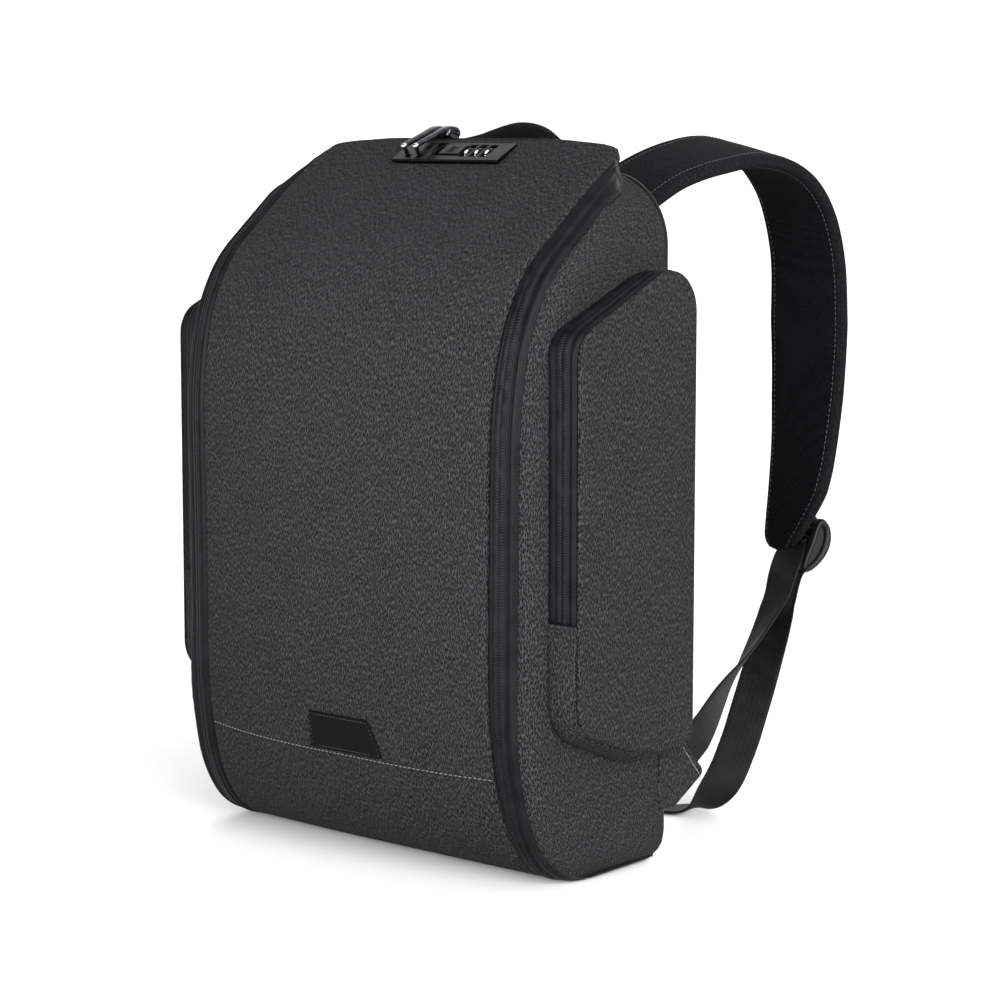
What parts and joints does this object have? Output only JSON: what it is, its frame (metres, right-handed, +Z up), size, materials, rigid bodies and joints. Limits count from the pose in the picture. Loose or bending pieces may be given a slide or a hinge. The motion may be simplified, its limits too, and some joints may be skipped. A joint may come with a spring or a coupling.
{
  "type": "laptop backpack",
  "caption": "Slim laptop backpack standing upright: padded clamshell front with a long zip round it, raised side pockets, number lock on a sloping top, handle and straps.",
  "frame": {"origin": "on the floor under the bag, in the middle of its width, on the flat base panel", "axes": "+X to the right seen from the front, +Y from the front panel to the shoulder straps, +Z up"},
  "size_m": [0.343, 0.3747, 0.4499],
  "materials": {
    "heather_cloth": "charcoal heather woven polyester, matt",
    "strap_cloth": "dark heather woven polyester, matt",
    "spacer_mesh": "black padded spacer mesh, matt",
    "coated_zip_tape": "black coated zip tape, satin",
    "base_cloth": "black coated cloth, satin",
    "nylon_webbing": "black woven nylon webbing, satin",
    "label_cloth": "black bonded patch, matt",
    "lock_plastic": "black moulded plastic, gloss",
    "buckle_plastic": "black moulded acetal, satin",
    "gunmetal": "gunmetal plated zinc, polished edges"
  },
  "bodies": {
    "bag": {"front_panel": "heather_cloth", "main_zip": "coated_zip_tape", "base_panel": "base_cloth", "back_panel": "spacer_mesh", "front_label": "label_cloth", "top_handle": "strap_cloth", "lock_plate": "lock_plastic", "zip_pull_1": "gunmetal", "zip_pull_2": "gunmetal", "zip_slider_1": "gunmetal", "zip_slider_2": "gunmetal", "side_panel_right": "heather_cloth", "pocket_zip_right": "coated_zip_tape", "pocket_wall_right": "heather_cloth", "pocket_face_right": "heather_cloth", "shoulder_strap_right": "strap_cloth", "strap_loop_right": "strap_cloth", "strap_webbing_right": "nylon_webbing", "strap_tab_right": "heather_cloth", "ladder_lock_right": "buckle_plastic", "side_panel_left": "heather_cloth", "pocket_zip_left": "coated_zip_tape", "pocket_wall_left": "heather_cloth", "pocket_face_left": "heather_cloth", "shoulder_strap_left": "strap_cloth", "strap_loop_left": "strap_cloth", "strap_webbing_left": "nylon_webbing", "strap_tab_left": "heather_cloth", "ladder_lock_left": "buckle_plastic"},
    "dial_1": {"lock_dial_1": "lock_plastic"},
    "dial_2": {"lock_dial_2": "lock_plastic"},
    "dial_3": {"lock_dial_3": "lock_plastic"},
    "button": {"lock_button": "lock_plastic"}
  },
  "joints": [
    {"name": "dial_1_turn", "type": "hinge", "parent": "bag", "child": "dial_1", "pos_m": [0.012, 0.02853, 0.42913], "axis": [1, 0, 0], "continuous": true},
    {"name": "dial_2_turn", "type": "hinge", "parent": "bag", "child": "dial_2", "pos_m": [0.0205, 0.02853, 0.42913], "axis": [1, 0, 0], "continuous": true},
    {"name": "dial_3_turn", "type": "hinge", "parent": "bag", "child": "dial_3", "pos_m": [0.029, 0.02853, 0.42913], "axis": [1, 0, 0], "continuous": true},
    {"name": "button_slide", "type": "slide", "parent": "bag", "child": "button", "axis": [-1, 0, 0], "range_m": [0, 0.004], "stiffness_N_per_m": 150}
  ]
}
